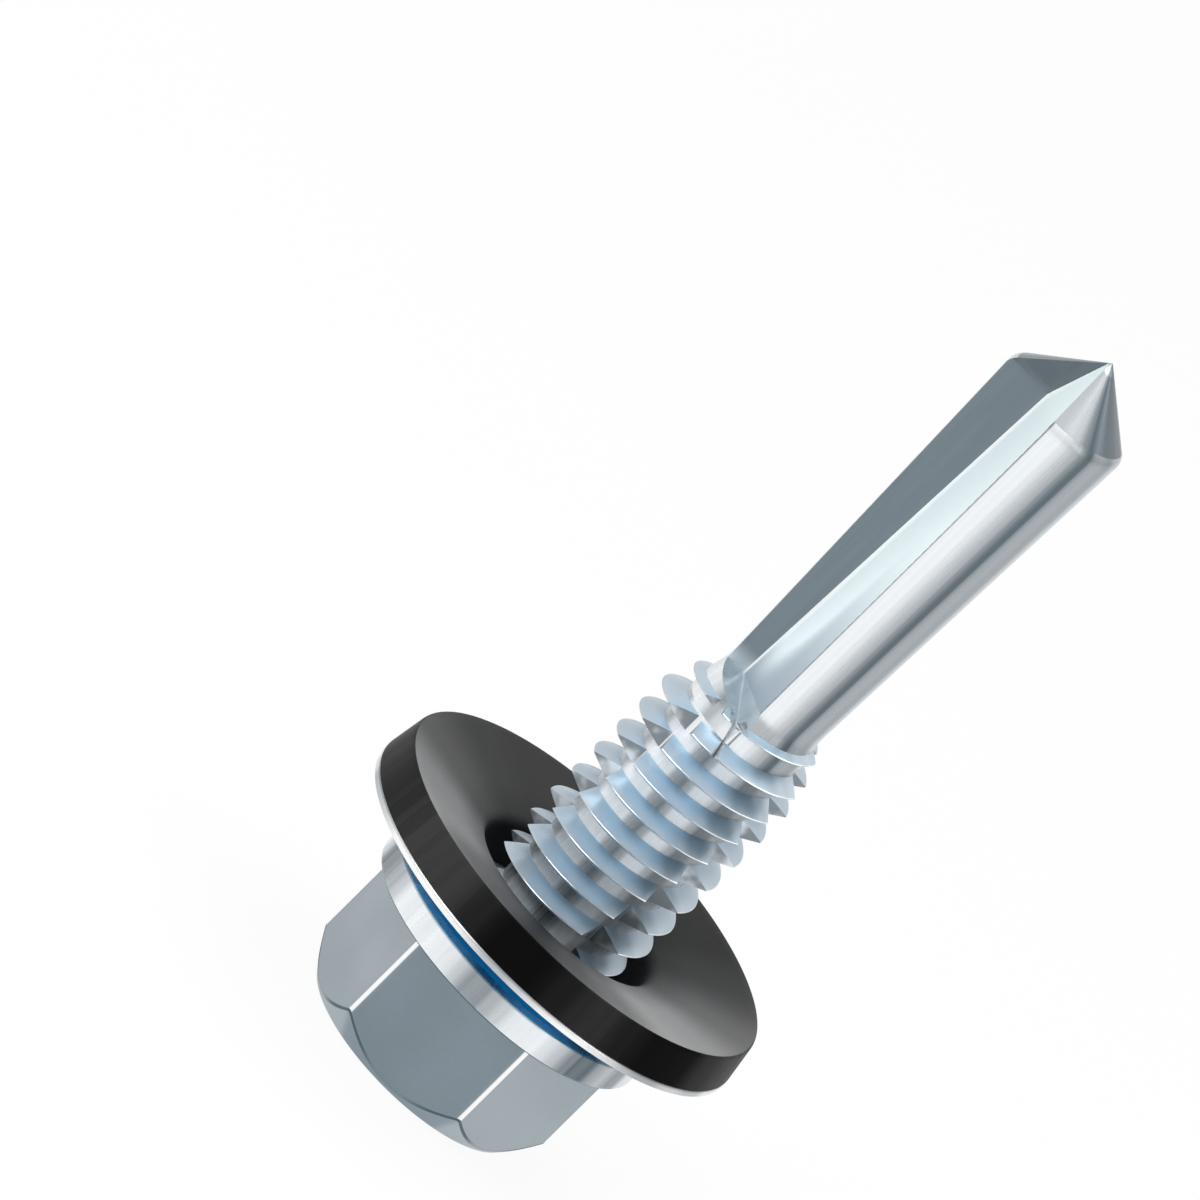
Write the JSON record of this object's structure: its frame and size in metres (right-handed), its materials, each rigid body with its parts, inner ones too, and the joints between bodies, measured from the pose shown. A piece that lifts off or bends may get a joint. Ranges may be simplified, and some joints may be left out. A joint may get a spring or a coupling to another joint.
{
  "type": "self drilling screw",
  "caption": "Hexagon flange-head self-drilling screw with a fluted drill point, a notched fine thread and a loose bonded sealing washer.",
  "frame": {"origin": "centre of the head's face, on which the screw stands", "axes": "+Z along the shank from the head to the drill point, -Y square to one flat of the hexagon"},
  "size_m": [0.014, 0.014, 0.0303],
  "materials": {
    "screw_zinc": "bright zinc plate with a cold blue tint, drawn streaks on turned surfaces",
    "plate_zinc": "zinc-coated pressed sheet, satin",
    "seal_rubber": "black moulded rubber with a soft satin sheen"
  },
  "bodies": {
    "screw": {"screw": "screw_zinc"},
    "washer": {"washer_plate": "plate_zinc", "washer_seal": "seal_rubber"}
  },
  "joints": [
    {"name": "washer_slide", "type": "slide", "parent": "screw", "child": "washer", "axis": [0, 0, 1], "range_m": [0, 0.022]}
  ]
}
